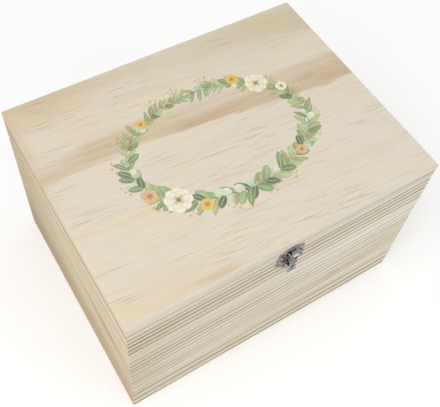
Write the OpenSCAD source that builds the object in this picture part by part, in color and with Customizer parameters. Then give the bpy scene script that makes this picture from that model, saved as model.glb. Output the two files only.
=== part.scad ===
/* [Box] */
// Outside length, left to right
box_l = 400; // [300:1:500]
// Outside depth, front to back
box_d = 305; // [200:1:400]
// Height with the lid shut
box_h = 242; // [160:1:320]
// Height of the lid, its top board included
lid_h = 45; // [44:1:80]
// Thickness of the side boards
board_t = 12; // [11.5:0.5:16]
// Thickness of the lid's top board
top_t = 10; // [7:0.5:14]
// Thickness of the base panel
base_t = 6; // [3:0.5:10]
// Depth of the rebate that holds the base panel
rebate_d = 6; // [3:0.5:8]
// Gap between the lid and the body
seam_gap = 0.3; // [0.3:0.05:0.8]

/* [Edges] */
// Radius of the lid's top edges
top_edge_r = 2.5; // [1:0.25:4]
// Radius of the upright corners
corner_r = 1.5; // [0.5:0.25:3]
// Radius of the small eased edges
eased_r = 0.6; // [0.3:0.1:1]

/* [Hinges] */
// How far the lid opens, in degrees
lid_open = 100; // [90:1:110]
// Spare angle between the bevels when the lid is open
bevel_spare = 3; // [2:0.5:5]
// Depth of the bevel along the back of the seam
bevel_d = 3.5; // [3.3:0.1:4]
// Distance from the box's end to the middle of a hinge
hinge_inset = 82; // [45:1:120]
// Length of a hinge
hinge_l = 34; // [28:1:50]
// Width of a hinge leaf, from the pin to its free edge
leaf_w = 7.4; // [7.2:0.1:7.8]
// Thickness of a hinge leaf
leaf_t = 1.1; // [0.8:0.1:1.3]
// Number of knuckles on a hinge
knuckles = 5; // [3:2:7]
// Diameter of a hinge pin
hinge_pin_d = 1.9; // [1.5:0.1:2]
// Number of screws in a leaf
leaf_screws = 3; // [2:1:3]
// Distance from a leaf's end to its first screw
screw_end = 5.5; // [4:0.5:7]
// Diameter of a screw's head
screw_head_d = 4; // [3:0.1:4.2]
// Diameter of a screw's shank
screw_d = 2; // [1.6:0.1:2.2]
// Length of a screw
screw_l = 9; // [6:0.5:12]

/* [Clasp] */
// Sideways place of the clasp, from the middle of the front
clasp_x = -3; // [-20:0.5:20]
// Thickness of the clasp's plates
plate_t = 1; // [0.8:0.1:1.3]
// Width of the lid plate at its widest
lid_plate_w = 35.6; // [34:0.2:40]
// Height of the lid plate's lower edge above the seam
lid_plate_low = 2.6; // [1:0.1:4]
// Height of the lid plate's arch above the seam
lid_plate_top = 32; // [31:0.5:34]
// Diameter of the clasp's pin
clasp_pin_d = 1.5; // [1.2:0.1:1.8]
// Wall of the clasp's knuckles
eye_wall = 1.1; // [0.9:0.1:1.3]
// Height of the clasp's pin above the seam
eye_h = 26; // [24:0.5:27]
// Width of the hasp's strap at its pin
hasp_w = 6.4; // [5:0.2:8]
// Thickness of the hasp
hasp_t = 1.2; // [1:0.1:1.4]
// How far the hasp stands out from the box
hasp_out = 8.2; // [7.6:0.1:9.5]
// Depth of the hasp's lip below the seam
lip_low = 9.5; // [8:0.5:12]
// Width of the window that drops over the hook
window_w = 5.2; // [4.6:0.1:5.6]
// Width of the hook
hook_w = 3.8; // [3:0.1:4]
// Depth of the catch plate's foot below the seam
catch_low = 14.5; // [13:0.5:18]
// Width of the catch plate
catch_w = 18; // [16:0.5:22]
// Diameter of a clasp nail's head
nail_head_d = 2.6; // [2:0.1:3]
// Diameter of a clasp nail
nail_d = 1.2; // [0.9:0.1:1.4]
// Length of a clasp nail
nail_l = 9; // [6:0.5:10]

/* [Hidden] */
$fn = 48;
// Play of a pin, a screw or a let-in leaf in its seat
fit = 0.05;
// Free space round a part that turns
play = 0.3;
// How far a cutter reaches past what it cuts
over = 1;
// How far two shapes of one piece lap where they meet
lap = 0.05;
mid = 0.5;

seam_z = box_h - lid_h;
body_top = seam_z - seam_gap / 2;
lid_bottom = seam_z + seam_gap / 2;
frame_top = box_h - top_t;
front_y = -box_d / 2;
back_y = box_d / 2;

bevel_angle = lid_open / 2 + bevel_spare / 2;
bevel_rise = bevel_d * tan(bevel_angle);

hinge_y = back_y - bevel_d;
hinge_x = box_l / 2 - hinge_inset;
pin_hole_r = hinge_pin_d / 2 + fit;
barrel_r = pin_hole_r + leaf_t;
pin_head_r = pin_hole_r + leaf_t * mid;
pin_head_t = 0.5;
knuckle_l = (hinge_l - (knuckles - 1) * play) / knuckles;
screw_from_pin = (barrel_r + leaf_w + play) * mid;
screw_step = (hinge_l - 2 * screw_end) / (leaf_screws - 1);
screw_head_h = min(leaf_t - fit, (screw_head_d - screw_d) * mid);
drive_w = screw_head_d * 0.14;
drive_l = screw_head_d * 0.6;
drive_deep = screw_head_h * 0.7;
pin_tip_share = 0.6;

eye_hole_r = clasp_pin_d / 2 + fit;
eye_r = eye_hole_r + eye_wall;
eye_out = plate_t + play + eye_r;
ear_w = 2.4;
ear_x = hasp_w / 2 + play;
clasp_pin_head_t = 0.4;

// The lid plate, with heights above the seam
plate_half = lid_plate_w / 2;
plate_arch_r = 19;
shoulder_h = lid_plate_top - 4.4;
horn_x = plate_half - 2.3;
horn_h = shoulder_h + 0.9;
waist_x = plate_half - 0.9;
waist_h = shoulder_h - 5.5;
dip_x = plate_half - 5.8;
dip_h = shoulder_h - 1.2;
belly_h = shoulder_h * mid + 1;
toe_x = plate_half - 0.2;
toe_h = lid_plate_low - 0.6;
foot_scallop_r = 12;
foot_scallop_x = 9.2;
foot_scallop_rise = 1.8;
rib_r = 17.2;
rib_wire_r = 0.55;
rib_edge = 1.3;
rib_w = 22;
// Pierced scrolls on the right half: place, direction, radius and length
scrolls = [
    [5.9, 20.6, 250, 1.7, 5.4],
    [4.2, 9.2, 80, 1.2, 3.6],
    [8.8, 9, 62, 1.75, 6.2],
    [14.3, 14.6, 100, 1.25, 4.6],
    [9.8, 24.4, 160, 0.85, 3.2],
    [14.3, 24.2, 70, 0.6, 2]
];
// Beads on the right half: place and radius
beads = [[16.2, 10.4, 0.75], [11.6, 14.9, 0.8], [6.2, 14.7, 0.7], [0.9, 6.2, 0.7]];
// Nail places on the right half of each plate
lid_nails = [[11.2, 20.4], [14.7, 6.4]];
catch_nails = [[5.6, -5.2]];
nail_head_r = nail_head_d * 0.56;
nail_head_sink = nail_head_d * 0.25;
nail_point_l = nail_d * 2;

// The hasp, with heights above the seam
strap_r = 2;
strap_top = eye_h + eye_r;
window_low = -1.8;
window_top = 7.8;
neck_h = window_top + 5.5;
strap_slot_w = 3.4;
strap_slot_top = eye_h - 2;
strap_slot_low = eye_h - 8;
flare_half = window_w / 2 + 2.2;
flare_top = window_top + 1;
lip_start = -2;
lip_curve_r = 30;
lip_room = 4;
lip_lobe_r = 2.7;
lip_lobe_x = 3.9;
lip_lobe_h = lip_lobe_r * 1.25 - lip_low;
flare_low = lip_lobe_h - 0.5;

// The catch plate and its hook, with heights above the seam
catch_half = catch_w / 2;
catch_top = -1;
catch_shoulder_h = catch_top - 3;
catch_waist_h = -catch_low * mid - 1.2;
catch_chamfer = 1.2;
catch_foot_half = 2.2;
catch_scallop_r = 5.4;
drop_r = 1.5;
hook_t = 1.2;
hook_root_low = -7;
hook_root_h = 2;
hook_arm_low = window_low + 2.2;
hook_arm_top = hook_arm_low + hook_t;
hook_tip = hook_arm_low + 4.6;
hook_out = hasp_out + play * 2 + hook_t;
hook_edge = 0.4;

// What is left outside a quarter circle in the corner at the origin
module corner_waste(r) {
    difference() {
        translate([-over, -over]) square(r + over);
        translate([r, r]) circle(r);
    }
}

// Section of a body board: its outer face at x = 0, its foot at y = 0
module body_section() {
    difference() {
        square([board_t, body_top]);
        translate([board_t - rebate_d, -over]) square([rebate_d + over, base_t + over]);
        corner_waste(eased_r);
        translate([0, body_top]) mirror([0, 1]) corner_waste(eased_r);
    }
}

// Section of a lid board: its outer face at x = 0
module lid_section() {
    difference() {
        translate([0, lid_bottom]) square([board_t, frame_top - lid_bottom]);
        translate([0, lid_bottom]) corner_waste(eased_r);
    }
}

// Outline, seen from above, of a board of length l that is mitred at both ends
module mitred_plan(l) {
    polygon([[-l / 2, 0], [l / 2, 0], [l / 2 - board_t, board_t], [board_t - l / 2, board_t]]);
}

// A mitred board of length l along X, its outer face at y = 0
module mitred_board(l) {
    intersection() {
        translate([-l / 2, 0, 0]) rotate([90, 0, 90]) linear_extrude(l) children();
        linear_extrude(box_h) mitred_plan(l);
    }
}

module front_place() {
    translate([0, front_y, 0]) children();
}

module back_place() {
    translate([0, back_y, 0]) rotate([0, 0, 180]) children();
}

module left_place() {
    translate([-box_l / 2, 0, 0]) rotate([0, 0, -90]) children();
}

module right_place() {
    translate([box_l / 2, 0, 0]) rotate([0, 0, 90]) children();
}

// The rounding of the four upright corners
module upright_corners() {
    for (sx = [-1, 1])
        for (sy = [-1, 1])
            translate([sx * box_l / 2, sy * box_d / 2, -over])
                mirror([sx > 0 ? 1 : 0, 0, 0])
                    mirror([0, sy > 0 ? 1 : 0, 0])
                        linear_extrude(box_h + 2 * over) corner_waste(corner_r);
}

// The groove along the back of the seam, which stops the open lid
module back_bevel() {
    translate([-box_l / 2 - over, back_y, seam_z])
        rotate([90, 0, 90])
            linear_extrude(box_l + 2 * over)
                polygon([
                    [-bevel_d, seam_gap / 2],
                    [0, seam_gap / 2 + bevel_rise],
                    [over, seam_gap / 2 + bevel_rise],
                    [over, -seam_gap / 2 - bevel_rise],
                    [0, -seam_gap / 2 - bevel_rise],
                    [-bevel_d, -seam_gap / 2]
                ]);
}

module at_hinges() {
    for (sx = [-1, 1])
        translate([sx * hinge_x, hinge_y, seam_z]) children();
}

module at_screws() {
    for (i = [0 : leaf_screws - 1])
        translate([screw_end - hinge_l / 2 + i * screw_step, -screw_from_pin, 0]) children();
}

// Turns what is drawn for the body's half of a hinge over when half is 1, the lid's
module hinge_half(half) {
    mirror([0, 0, half]) children();
}

// A seat in the body for a leaf, its barrel and its screws
module hinge_seat() {
    depth = seam_gap / 2 + leaf_t;
    seat_l = hinge_l + 2 * (pin_head_t + play);
    translate([-seat_l / 2, 0, 0]) rotate([0, 90, 0]) cylinder(r = barrel_r + play, h = seat_l);
    translate([-hinge_l / 2 - fit, -leaf_w - fit, -depth])
        cube([hinge_l + 2 * fit, leaf_w + fit, depth + over]);
    at_screws()
        translate([0, 0, -seam_gap / 2 - screw_l - play])
            cylinder(d = screw_d, h = screw_l + play);
}

// A countersunk screw with its head's face at z = 0 and its point down
module screw() {
    shank_r = screw_d / 2 - fit;
    difference() {
        rotate_extrude()
            polygon([
                [0, 0],
                [screw_head_d / 2 - fit, 0],
                [shank_r, -screw_head_h],
                [shank_r, screw_d - screw_l],
                [0, -screw_l]
            ]);
        for (turn = [0, 90])
            rotate([0, 0, turn])
                translate([-drive_l / 2, -drive_w / 2, -drive_deep])
                    cube([drive_l, drive_w, drive_deep + over]);
    }
}

// The countersunk hole for a screw, its mouth at z = 0
module screw_hole() {
    translate([0, 0, -leaf_t - over]) cylinder(d = screw_d, h = leaf_t + over);
    translate([0, 0, -screw_head_h]) cylinder(d1 = screw_d, d2 = screw_head_d, h = screw_head_h);
    cylinder(d = screw_head_d, h = over);
}

// Cylinders of radius r on every other knuckle from number first, longer by room at each end
module knuckle_row(first, r, room) {
    for (i = [first : 2 : knuckles - 1])
        translate([i * (knuckle_l + play) - hinge_l / 2 - room, 0, 0])
            rotate([0, 90, 0])
                cylinder(r = r, h = knuckle_l + 2 * room);
}

// The leaf of the body's half, its pin along X at the origin; first is its first knuckle's number
module leaf(first) {
    difference() {
        union() {
            translate([-hinge_l / 2, -leaf_w, -seam_gap / 2 - leaf_t]) cube([hinge_l, leaf_w, leaf_t]);
            knuckle_row(first, barrel_r, 0);
        }
        knuckle_row(1 - first, barrel_r + play, play);
        translate([-hinge_l / 2 - over, 0, 0])
            rotate([0, 90, 0])
                cylinder(r = pin_hole_r, h = hinge_l + 2 * over);
        at_screws() translate([0, 0, -seam_gap / 2]) screw_hole();
    }
}

// A pin of length l and diameter d along X, with a domed head of radius r at each end
module headed_pin(l, d, r, head_t) {
    rotate([0, 90, 0])
        rotate_extrude()
            polygon([
                [0, -l / 2 - head_t],
                [r * pin_tip_share, -l / 2 - head_t],
                [r, -l / 2],
                [d / 2, -l / 2],
                [d / 2, l / 2],
                [r, l / 2],
                [r * pin_tip_share, l / 2 + head_t],
                [0, l / 2 + head_t]
            ]);
}

// The screws of both hinges in the body (half = 0) or in the lid (half = 1)
module hinge_screws(half) {
    color("gainsboro")
        at_hinges()
            hinge_half(half)
                at_screws()
                    translate([0, 0, -seam_gap / 2])
                        screw();
}

// Clasp pieces stand on the front: x sideways, y upwards from the seam, z outwards
module clasp_place() {
    translate([clasp_x, front_y, seam_z]) rotate([90, 0, 0]) children();
}

// A clasp piece of width w from its side view: x outwards, y upwards
module side_to_side(w) {
    translate([-w / 2, 0, 0]) rotate([0, 90, 0]) mirror([1, 0, 0]) linear_extrude(w) children();
}

module both_sides() {
    for (s = [0, 1]) mirror([s, 0]) children();
}

module teardrop(r, l) {
    a = acos(r / l);
    circle(r);
    polygon([[l, 0], [r * cos(a), r * sin(a)], [r * cos(a), -r * sin(a)]]);
}

// Outline of the lid plate: an arch between two horns above a scalloped foot
module lid_plate_outline() {
    difference() {
        union() {
            intersection() {
                translate([0, lid_plate_top - plate_arch_r]) circle(plate_arch_r, $fn = 96);
                translate([-plate_half, lid_plate_low]) square([lid_plate_w, lid_plate_top]);
            }
            both_sides()
                polygon([
                    [-over, lid_plate_low],
                    [toe_x, toe_h],
                    [plate_half, belly_h],
                    [waist_x, waist_h],
                    [horn_x, horn_h],
                    [dip_x, dip_h],
                    [-over, shoulder_h]
                ]);
        }
        both_sides()
            translate([foot_scallop_x, lid_plate_low + foot_scallop_rise - foot_scallop_r])
                circle(foot_scallop_r, $fn = 96);
    }
}

// The scrolls that are pierced through the lid plate
module lid_plate_piercing() {
    both_sides()
        for (s = scrolls)
            translate([s[0], s[1]]) rotate(s[2]) teardrop(s[3], s[4]);
}

// The beads and the raised rib that stand on the lid plate
module lid_plate_relief() {
    intersection() {
        translate([0, lid_plate_top - rib_r - rib_edge, 0])
            rotate_extrude($fn = 96)
                translate([rib_r, plate_t]) circle(rib_wire_r, $fn = 24);
        translate([-rib_w / 2, eye_h - eye_r, 0]) cube([rib_w, rib_r, plate_t + over]);
    }
    both_sides()
        for (b = beads)
            translate([b[0], b[1], plate_t]) bead(b[2]);
}

module bead(r) {
    intersection() {
        sphere(r, $fn = 24);
        translate([-r, -r, -plate_t * mid]) cube(2 * r);
    }
}

// Holes for nails at places, on both sides of a plate
module nail_holes(places) {
    for (p = places)
        for (s = [-1, 1])
            translate([s * p[0], p[1]]) circle(d = nail_d);
}

// Nails driven at places, on both sides of a plate
module nails(places) {
    for (p = places)
        for (s = [-1, 1])
            translate([s * p[0], p[1], plate_t]) nail();
}

// A round-headed nail, its head's flat side at z = 0
module nail() {
    shank_r = nail_d / 2 - fit;
    rotate_extrude() {
        intersection() {
            translate([0, -nail_head_sink]) circle(nail_head_r);
            square([nail_head_d / 2, nail_head_d]);
        }
        polygon([[0, -nail_l], [shank_r, nail_point_l - nail_l], [shank_r, lap], [0, lap]]);
    }
}

// Holes in the wood for nails at places
module nail_bores(places) {
    clasp_place()
        for (p = places)
            for (s = [-1, 1])
                translate([s * p[0], p[1], -nail_l - play]) cylinder(d = nail_d, h = nail_l + over);
}

// The pair of knuckles that carry the clasp's pin
module plate_ears() {
    both_ends() {
        difference() {
            union() {
                rotate([0, 90, 0]) cylinder(r = eye_r, h = ear_w);
                translate([0, -eye_r, plate_t * mid - eye_out]) cube([ear_w, 2 * eye_r, eye_out - plate_t * mid]);
            }
            translate([-over, 0, 0]) rotate([0, 90, 0]) cylinder(r = eye_hole_r, h = ear_w + 2 * over);
        }
    }
}

module both_ends() {
    for (s = [0, 1])
        mirror([s, 0, 0]) translate([ear_x, eye_h, eye_out]) children();
}

// Side view of the hasp: x outwards, y upwards
module hasp_side() {
    bend_x = hasp_out - strap_r;
    bend_h = strap_top - strap_r;
    difference() {
        union() {
            translate([eye_out, eye_h]) circle(eye_r);
            translate([eye_out, strap_top - hasp_t]) square([bend_x + lap - eye_out, hasp_t]);
            intersection() {
                translate([bend_x, bend_h]) ring(strap_r, strap_r - hasp_t);
                translate([bend_x, bend_h]) square(strap_r);
            }
            translate([hasp_out - hasp_t, lip_start]) square([hasp_t, bend_h + lap - lip_start]);
            intersection() {
                translate([hasp_out + lip_curve_r, lip_start])
                    ring(lip_curve_r + hasp_t, lip_curve_r, $fn = 120);
                translate([0, -lip_low - over])
                    square([hasp_out + lip_room, lip_low + over + lip_start + lap]);
            }
        }
        translate([eye_out, eye_h]) circle(eye_hole_r);
    }
}

module ring(r_out, r_in) {
    difference() {
        circle(r_out);
        circle(r_in);
    }
}

// Front view of the hasp: a strap that widens to a window and ends in a lobed lip
module hasp_front() {
    difference() {
        union() {
            polygon([
                [-hasp_w / 2, strap_top + over],
                [-hasp_w / 2, neck_h],
                [-flare_half, flare_top],
                [-flare_half, flare_low],
                [flare_half, flare_low],
                [flare_half, flare_top],
                [hasp_w / 2, neck_h],
                [hasp_w / 2, strap_top + over]
            ]);
            for (x = [-lip_lobe_x, lip_lobe_x])
                translate([x, lip_lobe_h]) circle(lip_lobe_r);
            translate([0, lip_lobe_r - lip_low]) circle(lip_lobe_r);
        }
        round_topped_slot(window_w, window_low, window_top);
        mirror([0, 1]) round_topped_slot(strap_slot_w, -strap_slot_top, -strap_slot_low);
    }
}

// An upright slot of width w between two heights, with a round upper end
module round_topped_slot(w, low, top) {
    translate([-w / 2, low]) square([w, top - low - w / 2]);
    translate([0, top - w / 2]) circle(d = w);
}

// Outline of the catch plate: a small shield with a drop at its foot
module catch_outline() {
    difference() {
        union() {
            both_sides()
                polygon([
                    [-over, catch_top],
                    [catch_half - catch_chamfer, catch_top],
                    [catch_half, catch_shoulder_h],
                    [catch_half - catch_chamfer, catch_waist_h],
                    [catch_foot_half, -catch_low],
                    [-over, -catch_low]
                ]);
            translate([0, -catch_low - drop_r * mid]) circle(drop_r);
        }
        both_sides() translate([catch_half, -catch_low]) circle(catch_scallop_r);
    }
}

// Side view of the hook: x outwards, y upwards; it leaves the plate, passes the window and turns up
module hook_side() {
    polygon([
        [plate_t * mid, hook_root_low],
        [plate_t * mid, hook_root_low + hook_root_h],
        [hook_out - hook_t - over, hook_arm_top],
        [hook_out - hook_t, hook_arm_top],
        [hook_out - hook_t, hook_tip - hook_edge],
        [hook_out - hook_t + hook_edge, hook_tip],
        [hook_out - hook_edge, hook_tip],
        [hook_out, hook_tip - hook_edge],
        [hook_out, hook_arm_low + hook_edge],
        [hook_out - hook_edge, hook_arm_low],
        [hook_out - hook_t - hook_edge, hook_arm_low]
    ]);
}

module body_front_board() {
    color("burlywood") difference() {
        front_place() mitred_board(box_l) body_section();
        upright_corners();
        nail_bores(catch_nails);
    }
}

module body_back_board() {
    color("burlywood") difference() {
        back_place() mitred_board(box_l) body_section();
        upright_corners();
        back_bevel();
        at_hinges() hinge_half(0) hinge_seat();
    }
}

module body_left_board() {
    color("tan") difference() {
        left_place() mitred_board(box_d) body_section();
        upright_corners();
        back_bevel();
    }
}

module body_right_board() {
    color("tan") difference() {
        right_place() mitred_board(box_d) body_section();
        upright_corners();
        back_bevel();
    }
}

module base_panel() {
    panel_l = box_l - 2 * (board_t - rebate_d + fit);
    panel_d = box_d - 2 * (board_t - rebate_d + fit);
    color("wheat") translate([-panel_l / 2, -panel_d / 2, 0]) cube([panel_l, panel_d, base_t]);
}

module lid_front_board() {
    color("burlywood") difference() {
        front_place() mitred_board(box_l) lid_section();
        upright_corners();
        nail_bores(lid_nails);
    }
}

module lid_back_board() {
    color("burlywood") difference() {
        back_place() mitred_board(box_l) lid_section();
        upright_corners();
        back_bevel();
        at_hinges() hinge_half(1) hinge_seat();
    }
}

module lid_left_board() {
    color("tan") difference() {
        left_place() mitred_board(box_d) lid_section();
        upright_corners();
        back_bevel();
    }
}

module lid_right_board() {
    color("tan") difference() {
        right_place() mitred_board(box_d) lid_section();
        upright_corners();
        back_bevel();
    }
}

// What the round top edges take off a board of length l along X, its outer face at y = 0
module top_edge_waste(l) {
    translate([-l / 2 - over, 0, box_h])
        rotate([90, 0, 90])
            linear_extrude(l + 2 * over)
                mirror([0, 1]) corner_waste(top_edge_r);
}

module lid_top_board() {
    color("wheat") difference() {
        translate([-box_l / 2, front_y, frame_top]) cube([box_l, box_d, top_t]);
        upright_corners();
        front_place() top_edge_waste(box_l);
        back_place() top_edge_waste(box_l);
        left_place() top_edge_waste(box_d);
        right_place() top_edge_waste(box_d);
    }
}

// A leaf of the left hinge (sx = -1) or the right (sx = 1), for the body (half = 0) or the lid (half = 1)
module hinge_leaf(sx, half) {
    color("silver") translate([sx * hinge_x, hinge_y, seam_z]) hinge_half(half) leaf(half);
}

module hinge_pin(sx) {
    color("gainsboro") translate([sx * hinge_x, hinge_y, seam_z])
        headed_pin(hinge_l, hinge_pin_d, pin_head_r, pin_head_t);
}

module clasp_lid_plate() {
    color("slategray") clasp_place() {
        difference() {
            union() {
                linear_extrude(plate_t) lid_plate_outline();
                lid_plate_relief();
            }
            translate([0, 0, -over]) linear_extrude(plate_t + 3 * over) {
                lid_plate_piercing();
                nail_holes(lid_nails);
            }
        }
        plate_ears();
    }
}

module clasp_pin() {
    color("gainsboro") clasp_place()
        translate([0, eye_h, eye_out])
            headed_pin(2 * (ear_x + ear_w), clasp_pin_d, eye_hole_r + eye_wall * mid, clasp_pin_head_t);
}

module clasp_hasp() {
    color("lightslategray") clasp_place()
        intersection() {
            side_to_side(catch_w) hasp_side();
            linear_extrude(hasp_out + lip_room) hasp_front();
        }
}

module clasp_catch_plate() {
    color("slategray") clasp_place() {
        linear_extrude(plate_t) difference() {
            catch_outline();
            nail_holes(catch_nails);
        }
        side_to_side(hook_w) hook_side();
    }
}

module clasp_lid_nails() {
    color("dimgray") clasp_place() nails(lid_nails);
}

module clasp_catch_nails() {
    color("dimgray") clasp_place() nails(catch_nails);
}

body_front_board();
body_back_board();
body_left_board();
body_right_board();
base_panel();
lid_front_board();
lid_back_board();
lid_left_board();
lid_right_board();
lid_top_board();
hinge_leaf(-1, 0);  // left_hinge_body_leaf
hinge_leaf(-1, 1);  // left_hinge_lid_leaf
hinge_pin(-1);  // left_hinge_pin
hinge_leaf(1, 0);  // right_hinge_body_leaf
hinge_leaf(1, 1);  // right_hinge_lid_leaf
hinge_pin(1);  // right_hinge_pin
hinge_screws(0);  // hinge_body_screws
hinge_screws(1);  // hinge_lid_screws
clasp_lid_plate();
clasp_pin();
clasp_hasp();
clasp_catch_plate();
clasp_lid_nails();
clasp_catch_nails();
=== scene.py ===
import math
import random

import bmesh
import bpy
from mathutils import Matrix, Vector


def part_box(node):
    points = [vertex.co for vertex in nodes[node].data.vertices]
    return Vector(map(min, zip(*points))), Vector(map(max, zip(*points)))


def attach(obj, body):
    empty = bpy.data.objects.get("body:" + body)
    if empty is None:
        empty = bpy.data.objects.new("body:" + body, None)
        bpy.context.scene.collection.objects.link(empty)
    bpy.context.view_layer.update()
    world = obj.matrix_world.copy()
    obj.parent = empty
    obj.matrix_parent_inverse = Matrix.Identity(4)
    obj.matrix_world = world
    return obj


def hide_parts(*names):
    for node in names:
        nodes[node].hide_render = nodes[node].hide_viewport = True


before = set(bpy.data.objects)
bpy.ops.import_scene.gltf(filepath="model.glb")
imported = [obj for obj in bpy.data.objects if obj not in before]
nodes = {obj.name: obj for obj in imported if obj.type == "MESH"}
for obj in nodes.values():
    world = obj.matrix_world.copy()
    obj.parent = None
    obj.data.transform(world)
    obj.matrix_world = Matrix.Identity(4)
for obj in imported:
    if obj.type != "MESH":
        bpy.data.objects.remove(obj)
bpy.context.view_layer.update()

mm = 0.001

# corners of the shut box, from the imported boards
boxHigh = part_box("lid_top_board")[1]
boxLeft, boxRight = -boxHigh.x, boxHigh.x
boxBack, boxFront = boxHigh.y, -boxHigh.y
boxTop = boxHigh.z
print("frame loaded,", len(nodes), "nodes")


# camera at the photo's viewpoint
cameraSetup = {
    "place": (-0.28872, -0.38216, 0.85724),
    "aim": (0.01455, 0.01050, 0.12100),
    "rollDeg": 7.149,
    "focalPx": 682.99,
    "frameWidthPx": 440,
    "sensorMm": 36.0,
    "shiftX": 0.0025,
    "shiftY": -0.0428,
    "clip": (0.01, 50),
}


def placeCamera(setup):
    data = bpy.data.cameras.new("photoCamera")
    data.sensor_width = setup["sensorMm"]
    data.sensor_fit = "HORIZONTAL"
    data.lens = setup["focalPx"] / setup["frameWidthPx"] * setup["sensorMm"]
    data.shift_x = setup["shiftX"]
    data.shift_y = setup["shiftY"]
    data.clip_start, data.clip_end = setup["clip"]
    camera = bpy.data.objects.new("photoCamera", data)
    bpy.context.scene.collection.objects.link(camera)
    look = (Vector(setup["aim"]) - Vector(setup["place"])).to_track_quat("-Z", "Y").to_matrix()
    turn = look @ Matrix.Rotation(math.radians(setup["rollDeg"]), 3, "Z")
    camera.matrix_world = Matrix.Translation(setup["place"]) @ turn.to_4x4()
    bpy.context.scene.camera = camera


placeCamera(cameraSetup)
print("camera placed")


# short cuts for wiring one material, or the world
class Bench:
    def __init__(self, name, world=None):
        self.made = world or bpy.data.materials.new(name)
        self.made.use_nodes = True
        self.tree = self.made.node_tree
        self.tree.nodes.clear()

    def add(self, kind, inputs=None, **settings):
        item = self.tree.nodes.new(kind)
        for key, value in settings.items():
            setattr(item, key, value)
        for key, value in (inputs or {}).items():
            self.feed(item.inputs[key], value)
        return item

    def feed(self, socket, value):
        if isinstance(value, bpy.types.NodeSocket):
            self.tree.links.new(value, socket)
        else:
            socket.default_value = value

    def calc(self, operation, a, b=0.0, c=None, clamp=False):
        values = {0: a, 1: b}
        if c is not None:
            values[2] = c
        return self.add("ShaderNodeMath", values, operation=operation, use_clamp=clamp).outputs[0]

    def times(self, a, b, clamp=False):
        return self.calc("MULTIPLY", a, b, clamp=clamp)

    def plus(self, a, b, clamp=False):
        return self.calc("ADD", a, b, clamp=clamp)

    def minus(self, a, b):
        return self.calc("SUBTRACT", a, b)

    # a value times a factor, and a lift added
    def line(self, value, factor, lift, clamp=False):
        return self.calc("MULTIPLY_ADD", value, factor, lift, clamp)

    # a value between 0 and 1, spread evenly about zero
    def about(self, value, span):
        return self.line(value, span, -span / 2)

    # noise over two or three lengths, each with its own waves per millimetre
    def noise(self, lengths, waves, seed=0.0, detail=2.0, rough=0.5, twist=0.0):
        axes = [self.times(length, wave) for length, wave in zip(lengths, waves)]
        axes += [seed] * (3 - len(axes))
        point = self.add("ShaderNodeCombineXYZ", dict(zip("XYZ", axes))).outputs[0]
        made = self.add("ShaderNodeTexNoise", {
            "Vector": point, "Scale": 1.0, "Detail": detail, "Roughness": rough, "Distortion": twist})
        return made.outputs["Fac"]

    # rises from 0 to most between two values, or falls where low is the larger
    def slope(self, value, low, high, most=1.0):
        ends = {"Value": value, "From Min": low, "From Max": high, "To Max": most}
        return self.add("ShaderNodeMapRange", ends, interpolation_type="SMOOTHSTEP").outputs[0]

    def mix(self, amount, under, over, blend="MIX"):
        made = self.add("ShaderNodeMix", data_type="RGBA", blend_type=blend, clamp_factor=True)
        self.feed(made.inputs[0], amount)
        self.feed(made.inputs[6], under)
        self.feed(made.inputs[7], over)
        return made.outputs[2]

    def curve(self, value, points, reach=1.0, lift=1.0):
        made = self.add("ShaderNodeFloatCurve", {"Value": self.calc("DIVIDE", value, reach)})
        line = made.mapping.curves[0]
        while len(line.points) < len(points):
            line.points.new(0.5, 0.5)
        for point, (x, y) in zip(line.points, points):
            point.location = (x / reach, y / lift)
            point.handle_type = "VECTOR"
        made.mapping.update()
        return self.times(made.outputs[0], lift)

    # a colour ramp through places and colours
    def ramp(self, value, stops, interpolation="LINEAR"):
        made = self.add("ShaderNodeValToRGB", {"Fac": value})
        band = made.color_ramp
        band.interpolation = interpolation
        while len(band.elements) < len(stops):
            band.elements.new(0.5)
        for element, (place, colour) in zip(band.elements, stops):
            element.position = place
            element.color = colour
        return made.outputs[0]

    # object coordinates in millimetres
    def millimetres(self):
        coord = self.add("ShaderNodeTexCoord").outputs["Object"]
        axes = self.add("ShaderNodeSeparateXYZ", {"Vector": coord})
        return [self.times(axes.outputs[i], 1 / mm) for i in range(3)]

    def finish(self, colour, rough, relief, reliefM, **fixed):
        bump = self.add("ShaderNodeBump", {"Height": relief, "Distance": reliefM, "Strength": 1.0})
        shader = self.add("ShaderNodeBsdfPrincipled", {
            "Base Color": colour, "Roughness": rough, "Normal": bump.outputs["Normal"]})
        for key, value in fixed.items():
            shader.inputs[key.replace("_", " ")].default_value = value
        return self.show(shader)

    def show(self, shader, output="ShaderNodeOutputMaterial"):
        self.add(output, {"Surface": shader.outputs[0]})
        return self.made


# a colour as it is seen, six hexadecimal digits, made linear
def paint(digits):
    shades = [int(digits[i:i + 2], 16) / 255 for i in (0, 2, 4)]
    return tuple(((s + 0.055) / 1.055) ** 2.4 if s > 0.04045 else s / 12.92 for s in shades) + (1.0,)


# where a ring's dark line starts, peaks and ends, and the pale line after it, in half widths from its place
ringShape = (-1.15, 0.4, 0.7)
paleShape = (0.5, 0.85, 1.5)

# the noises of a board; waves per millimetre run along it, down its rings and through its thickness
ringNoise = {
    "wander": {"waves": (0.006, 0.012), "detail": 1.0},
    "shiver": {"waves": (0.03, 0.06), "seed": 4.0},
    "fade": {"waves": (0.011, 0.07), "seed": 9.0},
    "tone": {"waves": (0.004, 0.02), "seed": 17.0},
    "thin": {"waves": (0.006, 1.0), "seed": 25.0, "detail": 1.0, "rough": 0.7},
    "fleck": {"waves": (0.04, 1.7, 1.7), "detail": 3.0, "rough": 0.6},
    "fibre": {"waves": (0.03, 0.9, 0.9), "rough": 0.6},
}
ringTones = {"thin": (0.42, 0.66), "fleck": (0.54, 0.68), "toneSpan": 0.8, "mostStrength": 2.0}


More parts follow.
